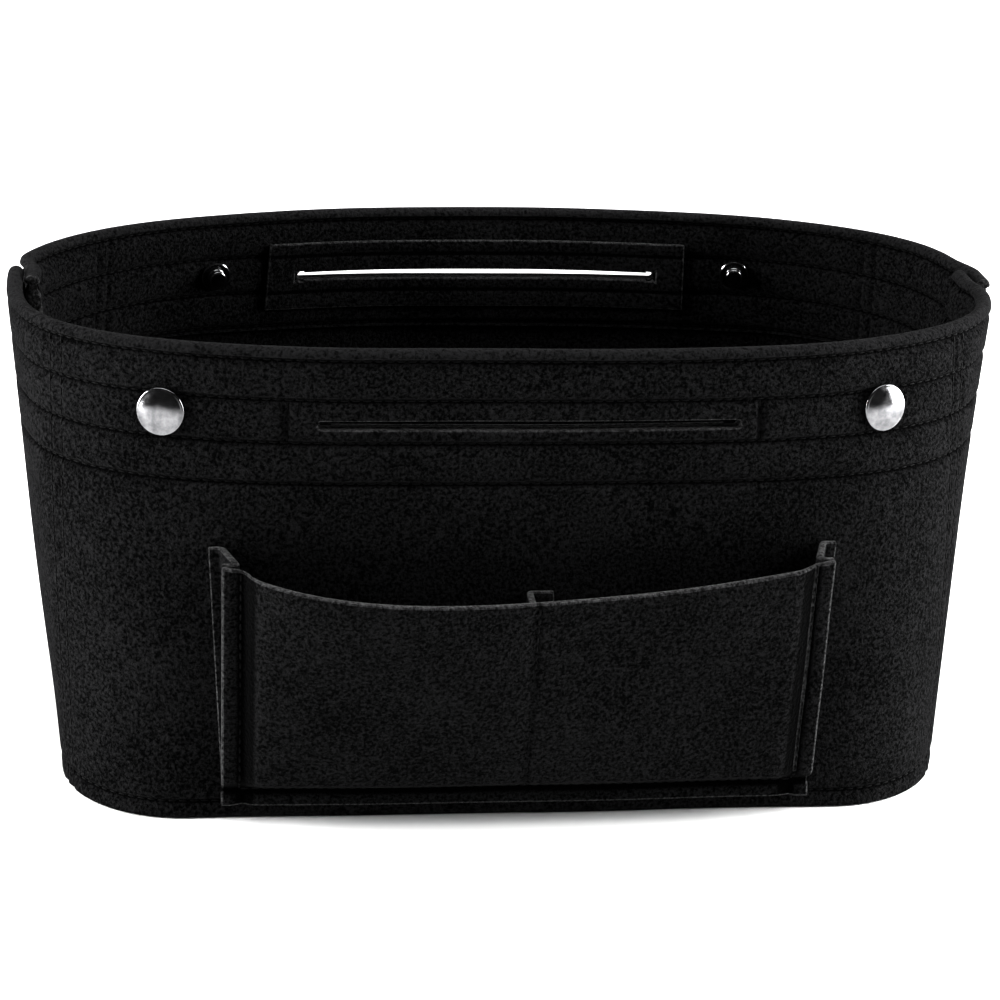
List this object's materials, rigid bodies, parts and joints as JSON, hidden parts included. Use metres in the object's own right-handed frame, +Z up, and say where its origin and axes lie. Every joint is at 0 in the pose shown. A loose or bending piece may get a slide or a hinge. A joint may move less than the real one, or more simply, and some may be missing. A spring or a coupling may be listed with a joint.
{
  "type": "handbag organizer insert",
  "caption": "Open-topped black felt tub that stands inside a handbag, with a box pocket on its front, slip pockets inside, hand slots and snap fasteners near the rim.",
  "frame": {"origin": "centre of the base's underside, halfway along the tub and between its long walls", "axes": "+X along the tub to the right as seen from the pocket side, -Y towards the side with the box pocket, +Z up"},
  "size_m": [0.3026, 0.1937, 0.1424],
  "materials": {
    "felt": "deep black pressed felt, matt, with a mottled pile",
    "inner_felt": "deep black pressed felt, matt",
    "slot_patch": "thin black felt, matt",
    "snap_metal": "bright nickel-plated brass"
  },
  "bodies": {
    "shell": {"front_wall": "felt", "back_wall": "felt", "pocket_web_left": "felt", "pocket_web_right": "felt", "front_slip_pocket": "inner_felt", "back_slip_pocket": "inner_felt", "base_panel": "inner_felt", "pocket_divider": "inner_felt", "front_slot_patch": "slot_patch", "back_slot_patch": "slot_patch", "front_left_snap_cap": "snap_metal", "front_left_snap_socket": "snap_metal", "front_left_snap_spring": "snap_metal", "front_right_snap_cap": "snap_metal", "front_right_snap_socket": "snap_metal", "front_right_snap_spring": "snap_metal", "back_left_snap_cap": "snap_metal", "back_left_snap_stud": "snap_metal", "back_right_snap_cap": "snap_metal", "back_right_snap_stud": "snap_metal"},
    "pocket": {"pocket_panel": "felt"}
  },
  "joints": [
    {"name": "pocket_fold", "type": "hinge", "parent": "shell", "child": "pocket", "pos_m": [0, -0.0831, 0.0098], "axis": [1, 0, 0], "range_deg": [-7, 2], "stiffness_Nm_per_rad": 0.15, "deforming": ["pocket_web_left", "pocket_web_right", "pocket_divider"]}
  ]
}
